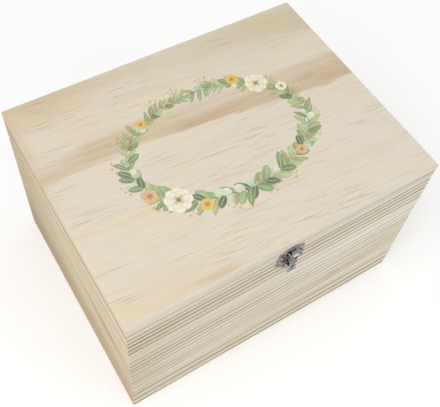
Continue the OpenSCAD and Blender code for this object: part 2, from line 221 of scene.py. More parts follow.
# darkness over depth at one end of a board: each ring (place, strength at the near end, strength at
# the far end, half width) deepens slowly and ends in a crisp edge
def ringPoints(rings, reach, end):
    points = [(0.0, 0.0)]
    for ring in rings:
        start, peak, close = [ring[0] + share * ring[3] for share in ringShape]
        if start > points[-1][0]:
            points.append((start, 0.0))
        points += [(peak, ring[1 + end]), (min(close, reach), 0.0)]
    return points


# the pale line of new earlywood that follows each ring's edge
def paleLines(rings, reach):
    points = [(0.0, 0.0)]
    for place, near, far, half in rings:
        start, peak, close = [place + share * half for share in paleShape]
        if close > reach:
            break
        points += [(start, 0.0), (peak, (near + far) / 2), (close, 0.0)]
    return points


# growth rings of a quarter-sawn board, each one ending in a dark latewood line
def ringWood(bench, along, depth, across, look):
    reach = look["reachMm"]
    length = 2 * look["halfLengthMm"]
    place = bench.plus(along, look["halfLengthMm"])

    def figure(name, *lengths):
        settings = dict(ringNoise[name])
        settings["seed"] = settings.get("seed", 0.0) + look["seed"]
        return bench.noise(lengths, **settings)

    level = bench.minus(depth, bench.times(bench.curve(place, look["sag"], length), look["sagMm"]))
    level = bench.plus(level, bench.about(figure("wander", along, depth), look["wanderMm"]))
    level = bench.plus(level, bench.about(figure("shiver", along, depth), look["shiverMm"]))
    level = bench.line(across, look["tilt"], level)

    near = bench.curve(level, ringPoints(look["rings"], reach, 0), reach)
    far = bench.curve(level, ringPoints(look["rings"], reach, 1), reach)
    share = bench.slope(place, *look["handover"])
    late = bench.plus(near, bench.times(share, bench.minus(far, near)))
    fade = bench.line(figure("fade", along, level), look["patchy"], 1.0 - look["patchy"] / 2)
    fade = bench.times(fade, bench.curve(place, look["strength"], length, ringTones["mostStrength"]))

    thin = figure("thin", along, bench.times(level, look["thinPerMm"]))
    fleck = figure("fleck", along, level, across)
    fibre = figure("fibre", along, level, across)
    dark = bench.plus(bench.times(late, fade), bench.slope(thin, *ringTones["thin"], look["thin"]))
    dark = bench.plus(dark, bench.slope(fleck, *ringTones["fleck"], look["fleck"]))
    dark = bench.plus(dark, bench.about(fibre, look["fibre"]), clamp=True)

    tone = bench.about(figure("tone", along, level), ringTones["toneSpan"])
    tone = bench.plus(bench.curve(level, look["warmth"], reach), tone, clamp=True)
    light = bench.mix(tone, paint(look["light"]), paint(look["warm"]))
    light = patchesAndPaintedLight(bench, light, look["tonePatches"], along, depth)
    pale = bench.curve(level, paleLines(look["rings"], reach), reach)
    pale = bench.times(bench.times(pale, fade), look["paleLine"])
    light = bench.mix(pale, light, paint(look["early"]))
    colour = bench.mix(dark, light, paint(look["late"]))
    return colour, bench.minus(1.0, dark)


# soft oval patches, each (place, half size, strength, colour); on the silver they also lay painted shade and
# painted highlights
def patchesAndPaintedLight(bench, colour, tonePatches, along, depth):
    for at, size, strength, digits in tonePatches:
        dx = bench.calc("DIVIDE", bench.minus(along, at[0]), size[0])
        dy = bench.calc("DIVIDE", bench.minus(depth, at[1]), size[1])
        far = bench.plus(bench.times(dx, dx), bench.times(dy, dy))
        near = bench.calc("DIVIDE", strength, bench.line(far, far, 1.0))
        colour = bench.mix(near, colour, paint(digits))
    return colour


frontLook = {
    "reachMm": 250.0, "halfLengthMm": 200.0, "seed": 1.0, "tilt": 0.8,
    "rings": [(10.8, 0.1, 1.0, 2.4), (17, 0.5, 0.45, 3.6), (27, 0.7, 0.9, 4), (36, 0.95, 1.0, 4.4),
              (45.5, 1.0, 0.88, 4.6), (55.5, 0.95, 0.8, 4.5), (65, 0.85, 0.82, 4.4), (74, 0.14, 0.14, 4),
              (80, 0.28, 0.27, 4), (92.5, 0.45, 0.36, 5), (103.5, 0.82, 0.5, 4.2), (114, 0.85, 0.72, 4.2),
              (123.5, 0.6, 0.55, 4.2), (134.5, 0.5, 0.42, 5), (147, 0.38, 0.42, 4.4),
              (157.5, 0.58, 0.52, 4.4), (166.5, 0.53, 0.62, 4.2), (177.5, 0.44, 0.5, 4.4),
              (192, 0.3, 0.27, 5), (204, 0.7, 0.6, 7), (221, 0.75, 0.85, 7), (237, 0.6, 1.0, 6)],
    "handover": (60.0, 270.0),
    "strength": [(0, 1.4), (60, 1.15), (150, 1.05), (240, 1.12), (340, 1.2), (400, 1.05)],
    "sag": [(0, 0.1), (120, 0.2), (200, 0.55), (270, 1.0), (330, 0.8), (400, 0.2)],
    "sagMm": 2.2, "wanderMm": 3.0, "shiverMm": 1.0, "patchy": 0.5, "thin": 0.3, "thinPerMm": 0.3,
    "warmth": [(0, 0.1), (70, 0.15), (125, 0.3), (160, 0.5), (200, 0.55), (250, 0.7)],
    "fibre": 0.34, "fleck": 0.3, "paleLine": 0.55,
    "light": "e7dfd0", "warm": "e3d8c0", "late": "a29473", "early": "f4eedb",
    "tonePatches": [((150, 85), (90, 70), 0.6, "f0ebe1"), ((172, 148), (42, 20), 0.55, "d3c89e"),
               ((-185, 150), (30, 60), 0.35, "d0bc9e"), ((-195, 60), (60, 70), 0.3, "d8c8a4"),
               ((185, 200), (46, 44), 0.3, "efe8d8")],
}

# the side boards' first patch makes each board darker towards one end, and the last makes its lower part
# darker at that end
sideLook = {
    "reachMm": 250.0, "halfLengthMm": 152.5, "seed": 31.0, "tilt": 0.7,
    "rings": [(20, 0.62, 0.62, 9), (45, 0.42, 0.42, 8), (65, 0.22, 0.22, 6), (79, 0.1, 0.1, 5),
              (93, 0.15, 0.15, 6), (106, 0.4, 0.4, 9), (118, 0.3, 0.3, 5), (128, 0.16, 0.16, 5),
              (141, 0.2, 0.2, 5), (153, 0.14, 0.14, 5), (170, 0.25, 0.25, 7), (186, 0.2, 0.2, 6),
              (205, 0.2, 0.2, 8), (221, 0.34, 0.34, 8)],
    "handover": (60.0, 240.0),
    "strength": [(0, 1.0), (120, 1.0), (240, 0.95), (305, 1.2)],
    "sag": [(0, 0.1), (100, 0.25), (200, 0.8), (305, 1.0)],
    "sagMm": 3.5, "wanderMm": 6.0, "shiverMm": 2.0, "patchy": 1.2, "thin": 0.3, "thinPerMm": 0.22,
    "warmth": [(0, 0.02), (90, 0.1), (150, 0.45), (200, 1.0), (250, 1.0)],
    "fibre": 0.34, "fleck": 0.3, "paleLine": 0.4,
    "light": "e7d9bb", "warm": "c9af8d", "late": "9f8966", "early": "f1e6c8",
    "tonePatches": [((165, 110), (110, 220), 0.85, "c9b48f"), ((-98, 120), (30, 6), 0.75, "a88c66"),
               ((-66, 107), (34, 5), 0.45, "b59a72"), ((60, 215), (110, 14), 0.3, "b3966f"),
               ((160, 212), (110, 52), 0.55, "a49074")],
}


woodFinish = {
    "rough": (0.12, 0.55), "reliefM": 0.00012, "topRough": 0.6, "topReliefM": 0.00006, "specular": 0.3,
}


# front and back boards run along X, side boards along Y; each keeps its own figure
def boardWood(name, look, runsAlong, outerMm, inwards, flip=1.0):
    bench = Bench(name)
    x, y, z = bench.millimetres()
    depth = bench.minus(boxTop / mm, z)
    along, outwards = (x, y) if runsAlong == "X" else (y, x)
    if flip < 0:
        along = bench.times(along, -1.0)
    across = bench.times(bench.minus(outwards, outerMm), inwards)
    colour, height = ringWood(bench, along, depth, across, look)
    rough = bench.line(height, *woodFinish["rough"])
    return bench.finish(colour, rough, height, woodFinish["reliefM"],
                        Specular_IOR_Level=woodFinish["specular"])


topNoise = {
    "wander": {"waves": (0.007, 0.02), "seed": 3.0},
    "cloud": {"waves": (0.006, 0.03), "seed": 8.0, "detail": 3.0},
    "blush": {"waves": (0.005, 0.06), "seed": 21.0, "detail": 3.0},
    "warp": {"waves": (0.02, 0.05), "seed": 40.0},
    "grain": {"waves": (0.019, 0.62), "seed": 70.0, "detail": 3.0, "rough": 0.6},
    "patchy": {"waves": (0.01, 0.035), "seed": 81.0, "detail": 1.0},
    "fibre": {"waves": (0.02, 1.1, 1.1), "detail": 3.0},
}

topLook = {
    "pale": "e1d7c5", "cream": "e4d7be", "rose": "dac7aa", "fleck": "a78b63",
    "wideMm": 400.0, "deepMm": 305.0, "mostHalfMm": 40.0,
    "streams": [{"path": [(0, 102), (60, 100), (130, 101), (200, 107), (300, 112), (400, 120)],
                 "half": [(0, 8), (60, 11), (200, 12), (340, 14), (400, 15)],
                 "strength": [(0, 0.2), (30, 0.4), (60, 0.66), (180, 0.5), (300, 0.42), (350, 0.66),
                              (400, 0.7)],
                 "upEdge": (-1.6, -0.4), "lowEdge": (1.7, 0.4), "colour": "ccb190", "seed": 55.0},
                {"path": [(0, 112), (60, 113), (130, 114), (190, 119), (260, 124), (330, 133), (400, 138)],
                 "half": [(0, 7), (100, 6), (200, 8), (320, 11), (400, 9)],
                 "strength": [(0, 0.4), (50, 0.42), (95, 0.2), (140, 0.4), (190, 0.72), (280, 0.5),
                              (340, 0.62), (400, 0.68)],
                 "upEdge": (-1.7, -0.3), "lowEdge": (1.2, 0.6), "colour": "c6a884", "seed": 63.0}],
    "streakWaves": (0.007, 0.13), "streak": (1.3, 0.35), "warpMm": 12.0, "wanderMm": 14.0,
    "fleckSlope": 0.075, "sinkShare": 0.6, "frontEdge": (300.5, 304.0, 0.85), "frontEdgeColour": "dbd5c4",
    "cloud": (0.4, 0.7), "blush": (0.52, 0.75, 0.4), "fibre": (0.35, 0.75, 0.16),
    "grain": (0.55, 0.67), "patchy": (0.4, 0.6), "fleckMix": 0.56,
    "tonePatches": [((60, 2), (80, 11), 0.42, "cbac84"), ((35, 18), (55, 22), 0.5, "d2bb98"),
               ((200, -4), (120, 26), 0.45, "d4c8ad"), ((385, 0), (110, 24), 0.72, "cdbf9e"),
               ((45, 285), (75, 26), 0.42, "e1cdaa"), ((112, 290), (24, 5), 0.5, "cfae84"),
               ((390, 215), (150, 90), 0.6, "e2daca"), ((0, 55), (7, 70), 0.42, "cdb68e"),
               ((0, 250), (5, 70), 0.15, "f2e1bb")],
}


# one stream of heartwood along the lid, between a soft upper and a sharper lower edge
def heartStream(bench, u, v, warp, flow, look, stream):
    path = bench.curve(u, stream["path"], look["wideMm"], look["deepMm"])
    half = bench.curve(u, stream["half"], look["wideMm"], look["mostHalfMm"])
    off = bench.calc("DIVIDE", bench.plus(bench.minus(v, path), warp), half)
    inside = bench.times(bench.slope(off, *stream["lowEdge"]), bench.slope(off, *stream["upEdge"]))
    streak = bench.noise((u, flow), look["streakWaves"], stream["seed"])
    inside = bench.times(inside, bench.line(streak, *look["streak"]))
    return bench.times(inside, bench.curve(u, stream["strength"], look["wideMm"]), clamp=True)


# the flat-sawn figure of the lid's top; u runs from the left edge and v from the back edge
def topWood(bench, look):
    x, y, z = bench.millimetres()
    u = bench.minus(x, boxLeft / mm)
    v = bench.minus(boxBack / mm, y)
    sink = bench.minus(boxTop / mm, z)
    flow = bench.line(u, -look["fleckSlope"], v)
    flow = bench.plus(flow, bench.about(bench.noise((u, v), **topNoise["wander"]), look["wanderMm"]))
    flow = bench.line(sink, look["sinkShare"], flow)

    cloud = bench.noise((u, flow), **topNoise["cloud"])
    colour = bench.mix(bench.slope(cloud, *look["cloud"]), paint(look["pale"]), paint(look["cream"]))
    blush = bench.noise((u, flow), **topNoise["blush"])
    colour = bench.mix(bench.slope(blush, *look["blush"]), colour, paint(look["rose"]))
    colour = patchesAndPaintedLight(bench, colour, look["tonePatches"], u, flow)

    warp = bench.about(bench.noise((u, v), **topNoise["warp"]), look["warpMm"])
    for stream in look["streams"]:
        inside = heartStream(bench, u, v, warp, flow, look, stream)
        colour = bench.mix(inside, colour, paint(stream["colour"]))
    colour = bench.mix(bench.slope(v, *look["frontEdge"]), colour, paint(look["frontEdgeColour"]))

    grain = bench.noise((u, flow), **topNoise["grain"])
    patchy = bench.noise((u, flow), **topNoise["patchy"])
    fleck = bench.times(bench.slope(grain, *look["grain"]), bench.slope(patchy, *look["patchy"]))
    colour = bench.mix(bench.times(fleck, look["fleckMix"]), colour, paint(look["fleck"]))
    fibre = bench.noise((u, flow, sink), **topNoise["fibre"])
    colour = bench.mix(bench.slope(fibre, *look["fibre"]), colour, paint(look["fleck"]))
    return colour, bench.minus(1.0, fleck)


def lidTopWood():
    bench = Bench("lidTopPine")
    colour, height = topWood(bench, topLook)
    return bench.finish(colour, woodFinish["topRough"], height, woodFinish["topReliefM"],
                        Specular_IOR_Level=woodFinish["specular"])


def dress(nodeName, material):
    node = nodes[nodeName]
    node.data.materials.clear()
    node.data.materials.append(material)


halfLength, halfDepth = boxRight / mm, boxBack / mm
frontPine = boardWood("frontPine", frontLook, "X", -halfDepth, 1.0)
backPine = boardWood("backPine", frontLook, "X", halfDepth, -1.0, -1.0)
leftPine = boardWood("leftPine", sideLook, "Y", -halfLength, 1.0)
rightPine = boardWood("rightPine", sideLook, "Y", halfLength, -1.0, -1.0)
for part in ("body", "lid"):
    dress(part + "_front_board", frontPine)
    dress(part + "_back_board", backPine)
    dress(part + "_left_board", leftPine)
    dress(part + "_right_board", rightPine)
dress("lid_top_board", lidTopWood())
print("boards finished")


plywoodLook = {
    "face": "e3d3b0", "streak": "cdb38a", "core": "b9966a",
    "loopWaves": (0.015625, 0.0625), "loopSeed": 2.0, "twist": 1.4, "loops": 7.0, "loopMix": 0.5,
    "loopStops": [(0.0, 0.9), (0.12, 0.25), (0.5, 0.0), (0.85, 0.35), (1.0, 0.9)],
    "poreWaves": (0.08, 2.0, 1.0), "pores": (0.5, 0.8, 0.45),
    "plyMm": 1.2, "coreMm": (0.6, 0.84), "sideways": (0.6, 0.3), "rough": (0.2, 0.5), "reliefM": 0.00008,
}


# thin birch plywood: a rotary-cut face with wide soft loops, and darker core plies on its edges
def plywood(look):
    bench = Bench("birchPly")
    x, y, z = bench.millimetres()
    loop = bench.noise((x, y), look["loopWaves"], look["loopSeed"], detail=3.0, twist=look["twist"])
    loop = bench.calc("FRACT", bench.times(loop, look["loops"]))
    greys = [(place, (shade, shade, shade, 1)) for place, shade in look["loopStops"]]
    loop = bench.times(bench.ramp(loop, greys, "EASE"), look["loopMix"])
    colour = bench.mix(loop, paint(look["face"]), paint(look["streak"]))
    pores = bench.noise((x, y, z), look["poreWaves"])
    colour = bench.mix(bench.slope(pores, *look["pores"]), colour, paint(look["streak"]))
    core = bench.slope(bench.calc("PINGPONG", z, look["plyMm"]), *look["coreMm"])
    normal = bench.add("ShaderNodeNewGeometry").outputs["True Normal"]
    side = bench.calc("ABSOLUTE", bench.add("ShaderNodeSeparateXYZ", {"Vector": normal}).outputs[2])
    core = bench.times(core, bench.slope(side, *look["sideways"]))
    colour = bench.mix(core, colour, paint(look["core"]))
    return bench.finish(colour, bench.line(pores, *look["rough"]), pores, look["reliefM"])


silverLook = {
    "worn": "ffffff", "tarnish": "110d10", "violet": "6a5d66",
    "middleMm": -3.0, "seamMm": 197.0, "blotchMm": 2.2, "grainMm": 0.35, "unevenMm": 1.4,
    "fanMm": 26.0, "rays": 4.5, "sweep": 0.035, "bandMm": 5.5,
    "ray": (0.16, 0.03), "band": (0.4, 0.1), "chased": (0.3, 0.5), "edge": (0.97, 0.72, 0.95),
    "rubbed": (0.9, 0.05), "violetSlope": (0.4, 0.62), "shine": (0.5, 0.8, 0.5),
    "rough": (0.3, 0.2), "samples": 6, "grainRelief": 0.2, "grooveRelief": -1.5, "reliefM": 0.00018,
}
# tarnish lies below a height over the box's face and bare silver above it; dabs are placed across the box
# and above its seam: black ones are painted shade in piercings and gaps, with some tarnish, white ones are
# painted highlights, pale grey ones paint the lit side of the plate
plateLook = {
    "silver": "b3aeb0", "heightMm": (0.1, 1.35), "violet": 0.55, "chased": 0.7, "edgeMm": 0.5, "even": 0.0,
    "tarnishAndPaintedLight": [((-6.5, 28.0), (3.6, 1.9), 1.0, "110d10"), ((-5.2, 10.9), (1.8, 2.8), 1.0, "110d10"),
             ((-11.1, 15.6), (1.6, 2.0), 0.95, "110d10"), ((-15.0, 23.5), (3.0, 1.6), 0.7, "2e262c"),
             ((-8.5, 21.5), (1.6, 1.8), 0.85, "1c151a"), ((-7.1, 18.3), (1.6, 1.5), 0.9, "1c151a"),
             ((-10.2, 8.3), (1.5, 1.4), 0.85, "1c151a"), ((-14.0, 10.0), (1.5, 1.8), 0.8, "1c151a"),
             ((-12.6, 19.4), (1.2, 1.3), 0.8, "e4dde2"), ((-15.6, 17.2), (1.2, 1.4), 0.7, "e4dde2"),
             ((-8.1, 12.7), (0.9, 1.3), 0.95, "ffffff"), ((-17.3, 8.2), (1.3, 1.8), 0.7, "dccfd8"),
             ((-3.0, 2.5), (7.0, 3.5), 0.7, "8e8988"), ((8.5, 17.0), (5.5, 9.0), 0.65, "9f9b9c")],
}
# the hasp's dabs are a painted black shadow under its shelf, painted shade on its strap and inside its lip,
# and painted highlights along its shelf, strap and lip
haspLook = {
    "silver": "948e92", "heightMm": (0.3, 3.0), "violet": 0.5, "chased": 0.25, "edgeMm": 1.25, "even": 0.0,
    "tarnishAndPaintedLight": [((-3.2, 28.2), (1.9, 1.4), 0.6, "a09c9c"), ((-1.4, 21.9), (5.6, 2.2), 1.0, "0c090b"),
             ((-3.6, 25.9), (4.5, 1.3), 0.9, "fdfdfd"), ((-2.4, 12.0), (3.6, 4.6), 0.75, "5f575a"),
             ((-6.9, 9.3), (1.2, 1.5), 0.9, "ffffff"), ((0.2, 5.5), (1.3, 1.4), 0.85, "ffffff"),
             ((-3.0, -3.4), (4.2, 1.5), 0.85, "3f333c"), ((-3.0, -8.6), (7.0, 1.2), 0.7, "ffffff"),
             ((3.2, -4.3), (1.2, 2.2), 0.75, "ffffff")],
}
catchLook = {
    "silver": "96918f", "heightMm": (-0.5, 0.6), "violet": 0.2, "chased": 0.15, "edgeMm": 0.5, "even": 0.75,
    "tarnishAndPaintedLight": [],
}


# antique silver: tarnish stays in the low places and the raised edges are rubbed bright
def antiqueSilver(name, look, piece):
    bench = Bench(name)
    x, y, z = bench.millimetres()
    height = bench.line(y, -1.0, boxFront / mm)
    above = bench.minus(z, look["seamMm"])
    blotch = bench.noise((x, y, z), [1 / look["blotchMm"]] * 3, detail=4.0, rough=0.6)
    grain = bench.noise((x, y, z), [1 / look["grainMm"]] * 3)

    # a stamped fan of curved rays and bands, the same on both sides of the middle
    aside = bench.calc("ABSOLUTE", bench.minus(x, look["middleMm"]))
    rise = bench.minus(above, look["fanMm"])
    away = bench.calc("SQRT", bench.line(aside, aside, bench.times(rise, rise)))
    turn = bench.line(away, look["sweep"], bench.calc("ARCTAN2", rise, aside))
    ray = bench.calc("PINGPONG", bench.times(turn, look["rays"]), 0.5)
    halfBand = look["bandMm"] / 2
    band = bench.calc("PINGPONG", bench.plus(away, halfBand), halfBand)
    groove = bench.calc("MAXIMUM", bench.slope(ray, *look["ray"]), bench.slope(band, *look["band"]))
    groove = bench.times(groove, bench.slope(blotch, *look["chased"], piece["chased"]))

    edge = {"Radius": piece["edgeMm"] * mm}
    turned = bench.add("ShaderNodeBevel", edge, samples=look["samples"]).outputs[0]
    flat = bench.add("ShaderNodeNewGeometry").outputs["True Normal"]
    meet = bench.add("ShaderNodeVectorMath", {0: turned, 1: flat}, operation="DOT_PRODUCT").outputs["Value"]

    rubbed = bench.plus(height, bench.about(blotch, look["unevenMm"]))
    rubbed = bench.slope(rubbed, *piece["heightMm"])
    rubbed = bench.times(rubbed, bench.minus(1.0, groove))
    colour = bench.mix(bench.line(rubbed, *look["rubbed"]), paint(look["tarnish"]), paint(piece["silver"]))
    violet = bench.slope(blotch, *look["violetSlope"], piece["violet"])
    colour = bench.mix(violet, colour, paint(look["violet"]))
    colour = bench.mix(piece["even"], colour, paint(piece["silver"]))
    shine = bench.times(bench.slope(grain, *look["shine"]), rubbed)
    colour = bench.mix(shine, colour, paint(look["worn"]))
    colour = bench.mix(bench.slope(meet, *look["edge"]), colour, paint(look["worn"]))
    # painted shade and painted highlights, with some tarnish, laid on as dabs
    colour = patchesAndPaintedLight(bench, colour, piece["tarnishAndPaintedLight"], x, above)
    relief = bench.line(grain, look["grainRelief"], blotch)
    relief = bench.line(groove, look["grooveRelief"], relief)
    return bench.finish(colour, bench.line(blotch, *look["rough"]), relief, look["reliefM"], Metallic=1.0)


steelLook = {"steel": "b9b7b2", "dull": "7d7a74", "brushMm": 0.25, "blotchMm": 5.0}
nailLook = {"steel": "5e585b", "dull": "1b181a", "brushMm": 0.2, "blotchMm": 1.5}
dullness = {"hinge": 0.25, "screw": 0.5, "nail": 0.6, "patina": 0.9}
steelFinish = {
    "brushWaves": 0.06, "brush": 0.35, "blotch": 0.8, "lift": -0.6, "rough": (0.3, 0.25), "reliefM": 0.00004,
}


# plated steel of the hinges, screws and pins, brushed along X
def platedSteel(name, look, age):
    bench = Bench(name)
    lengths = bench.millimetres()
    fine = 1 / look["brushMm"]
    brush = bench.noise(lengths, (steelFinish["brushWaves"], fine, fine))
    blotch = bench.noise(lengths, [1 / look["blotchMm"]] * 3, detail=3.0)
    dull = bench.line(blotch, steelFinish["blotch"], age + steelFinish["lift"])
    dull = bench.line(brush, steelFinish["brush"], dull, clamp=True)
    colour = bench.mix(dull, paint(look["steel"]), paint(look["dull"]))
    rough = bench.line(dull, *steelFinish["rough"])
    return bench.finish(colour, rough, brush, steelFinish["reliefM"], Metallic=1.0)


dress("base_panel", plywood(plywoodLook))
haspSilver = antiqueSilver("haspSilver", silverLook, haspLook)
dress("clasp_lid_plate", antiqueSilver("plateSilver", silverLook, plateLook))
dress("clasp_catch_plate", antiqueSilver("catchSilver", silverLook, catchLook))
dress("clasp_hasp", haspSilver)
hingeSteel = platedSteel("hingeSteel", steelLook, dullness["hinge"])
screwSteel = platedSteel("screwSteel", steelLook, dullness["screw"])
nailSteel = platedSteel("nailSteel", nailLook, dullness["nail"])
for side in ("left", "right"):
    dress(side + "_hinge_body_leaf", hingeSteel)
    dress(side + "_hinge_lid_leaf", hingeSteel)
    dress(side + "_hinge_pin", screwSteel)
dress("hinge_body_screws", screwSteel)
dress("hinge_lid_screws", screwSteel)
dress("clasp_pin", haspSilver)
dress("clasp_lid_nails", nailSteel)
dress("clasp_catch_nails", nailSteel)
print("metal and base finished")


def dropAll():
    bpy.ops.object.select_all(action="DESELECT")


def pickAll():
    bpy.ops.mesh.select_all(action="SELECT")


def startEdit(thing):
    dropAll()
    bpy.context.view_layer.objects.active = thing
    thing.select_set(True)
    bpy.ops.object.mode_set(mode="EDIT")
    bpy.ops.mesh.select_all(action="DESELECT")


# selects the parts of one kind (verts, edges or faces) whose middle passes the test
def pick(thing, kind, test):
    mesh = bmesh.from_edit_mesh(thing.data)
    bpy.ops.mesh.select_all(action="DESELECT")
    for part in getattr(mesh, kind):
        if kind == "verts":
            middle = part.co
        elif kind == "edges":
            middle = (part.verts[0].co + part.verts[1].co) / 2
        else:
            middle = part.calc_center_median()
        part.select_set(bool(test(middle)))
    mesh.select_flush(kind != "verts")
    bmesh.update_edit_mesh(thing.data)


# extrudes what is picked
def pull(way):
    bpy.ops.mesh.extrude_region_move(TRANSFORM_OT_translate={"value": way})


def endEdit():
    pickAll()
    bpy.ops.mesh.normals_make_consistent(inside=False)
    bpy.ops.object.mode_set(mode="OBJECT")


# where the black sheets of painted shade sit, behind the plate's piercings and the hasp's window
backingLook = {
    "plate": {"middleMm": (-3.0, 16.5), "sizeMm": (32.4, 20.0), "cornerMm": 1.5, "segments": 3,
              "outMm": (0.02, 0.2), "body": "lid"},
    "window": {"middleMm": (-3.0, 18.2), "sizeMm": (4.9, 10.0), "cornerMm": 1.0, "segments": 3,
               "outMm": (6.85, 6.98), "body": "hasp"},
}


# a black sheet behind a piercing of the clasp: painted shade, so that the piercing reads dark
def paintedShadeSheet(name, look, patina):
    face = boxFront / mm
    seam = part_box("lid_front_board")[0].z / mm
    near, far = look["outMm"]
    wide, tall = look["sizeMm"]
    dropAll()
    bpy.ops.mesh.primitive_plane_add(size=1.0)
    sheet = bpy.context.active_object
    sheet.name = name
    startEdit(sheet)
    pickAll()
    bpy.ops.transform.resize(value=(wide * mm, tall * mm, 1.0))
    bpy.ops.mesh.bevel(offset=look["cornerMm"] * mm, segments=look["segments"], affect="VERTICES")
    pickAll()
    bpy.ops.transform.rotate(value=math.radians(90), orient_axis="X", center_override=(0, 0, 0))
    middle = (look["middleMm"][0] * mm, (face - near) * mm, (seam + look["middleMm"][1]) * mm)
    bpy.ops.transform.translate(value=middle)
    pull((0, (near - far) * mm, 0))
    endEdit()
    sheet.data.materials.append(patina)
    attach(sheet, look["body"])


patina = platedSteel("patina", nailLook, dullness["patina"])
paintedShadeSheet("plateBacking", backingLook["plate"], patina)
paintedShadeSheet("windowBacking", backingLook["window"], patina)

lidBoard = {"cornerMm": 1.5, "cornerSegments": 4, "topEdgeMm": 2.5, "topSegments": 6, "inkRoomMm": 0.18}


# the lid's top board again, a hair lower than the box's height so that the ink lies within it
def layLidBoard(look):
    low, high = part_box("lid_top_board")
    top = high.z - look["inkRoomMm"] * mm
    dropAll()
    bpy.ops.mesh.primitive_cube_add(size=1.0)
    board = bpy.context.active_object
    board.name = "printedLidBoard"
    startEdit(board)
    pickAll()
    halfX, halfY, halfZ = (high.x - low.x) / 2, (high.y - low.y) / 2, (top - low.z) / 2
    middle = Vector((low.x + high.x, low.y + high.y, low.z + top)) / 2
    bpy.ops.transform.resize(value=(2 * halfX, 2 * halfY, 2 * halfZ))
    bpy.ops.transform.translate(value=middle)
    pick(board, "edges", lambda c: abs(abs(c.x) - halfX) < mm and abs(abs(c.y - middle.y) - halfY) < mm)
    bpy.ops.mesh.bevel(offset=look["cornerMm"] * mm, segments=look["cornerSegments"])
    pick(board, "faces", lambda c: abs(c.z - top) < 0.1 * mm)
    bpy.ops.mesh.region_to_loop()
    bpy.ops.mesh.bevel(offset=look["topEdgeMm"] * mm, segments=look["topSegments"])
    endEdit()
    bpy.ops.object.shade_smooth_by_angle(angle=math.radians(30))
    board.data.materials.append(nodes["lid_top_board"].data.materials[0])
    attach(board, "lid")
    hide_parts("lid_top_board")
    return top


inkFloor = layLidBoard(lidBoard)
print("lid board laid")

inkLook = {
    "leafStops": [(0.0, "3c6342"), (0.2, "7b9f62"), (0.4, "bccb98"), (0.6, "a3a159"), (0.8, "e6eed6"),
                  (1.0, "9dbfa2")],
    "petalStops": [(0.0, "f3efdf"), (0.35, "efe6cb"), (0.5, "e9cf6f"), (0.75, "ecc257"), (1.0, "e6bd98")],
    "stem": "7f8058", "stemSpeck": "cfc9a4", "petalHeart": "b8a16a", "centre": "8a7440",
    "veinColour": "dfe3c8", "washMm": 5.0, "grainMm": 0.8, "rough": 0.55, "reliefM": 0.00004, "specular": 0.3,
    "leaf": {"tintSpan": 0.16, "foot": (0.75, 0.0, 0.45), "half": (0.47, 0.53, 0.22), "veins": 7.0,
             "slant": -0.7, "vein": (0.12, 0.0, 0.3), "rib": (0.06, 0.02, 0.6), "ribEnd": (0.98, 0.7),
             "rim": (0.84, 0.97, 0.4), "cover": (0.3, 0.72), "speck": (0.55, 0.8, -0.3)},
    "petal": {"heart": (0.8, 0.05), "heartWash": (0.6, 0.45), "rayWaves": (1.5, 16.0),
              "ray": (0.52, 0.75, 0.35), "rim": (0.88, 0.98, 0.5), "cover": 0.93},
    "twig": {"speck": (0.4, 0.7), "cover": (0.5, 0.55), "washSeed": 3.0, "speckSeed": 7.0},
}


# the length and width of one printed shape, both 0 to 1, and its tint
def inkPlaces(bench):
    place = bench.add("ShaderNodeSeparateXYZ", {"Vector": bench.add("ShaderNodeTexCoord").outputs["UV"]})
    tint = bench.add("ShaderNodeAttribute", attribute_name="tint").outputs["Fac"]
    return place.outputs[0], place.outputs[1], tint


# blots of one size, for a wash or for fine specks
def blots(bench, sizeMm, seed=0.0, detail=2.0):
    return bench.noise(bench.millimetres()[:2], (1 / sizeMm, 1 / sizeMm), seed, detail)


# how far out in a shape a place lies, 1 on its rim
def rimShare(bench, along, across):
    dx = bench.line(along, 2.0, -1.0)
    dy = bench.line(across, 2.0, -1.0)
    return bench.calc("SQRT", bench.plus(bench.times(dx, dx), bench.times(dy, dy)))


def stops(points):
    return [(place, paint(digits)) for place, digits in points]


def deepen(bench, amount, colour):
    return bench.mix(amount, colour, bench.mix(1.0, colour, colour, "MULTIPLY"))


# ink laid over the wood's own figure
def inkOnWood(bench, look, cover, ink):
    wood, height = topWood(bench, topLook)
    return bench.finish(bench.mix(cover, wood, ink), look["rough"], height, look["reliefM"],
                        Specular_IOR_Level=look["specular"])


# the printed greens: a pale midrib and veins, a darker rim and foot
def leafInk(look):
    bench = Bench("leafInk")
    leaf = look["leaf"]
    along, across, tint = inkPlaces(bench)
    wash = blots(bench, look["washMm"], tint, 3.0)
    speck = blots(bench, look["grainMm"])
    off = bench.calc("ABSOLUTE", bench.minus(across, 0.5))
    green = bench.ramp(bench.plus(tint, bench.about(wash, leaf["tintSpan"])), stops(look["leafStops"]))
    green = deepen(bench, bench.slope(along, *leaf["foot"]), green)
    green = deepen(bench, bench.slope(across, *leaf["half"]), green)
    vein = bench.calc("FRACT", bench.times(bench.line(off, leaf["slant"], along), leaf["veins"]))
    vein = bench.slope(bench.calc("ABSOLUTE", bench.minus(vein, 0.5)), *leaf["vein"])
    rib = bench.times(bench.slope(off, *leaf["rib"]), bench.slope(along, *leaf["ribEnd"]))
    green = bench.mix(bench.calc("MAXIMUM", vein, rib), green, paint(look["veinColour"]))
    green = deepen(bench, bench.slope(rimShare(bench, along, across), *leaf["rim"]), green)
    cover = bench.line(wash, *leaf["cover"], clamp=True)
    cover = bench.plus(cover, bench.slope(speck, *leaf["speck"]))
    return inkOnWood(bench, look, cover, green)


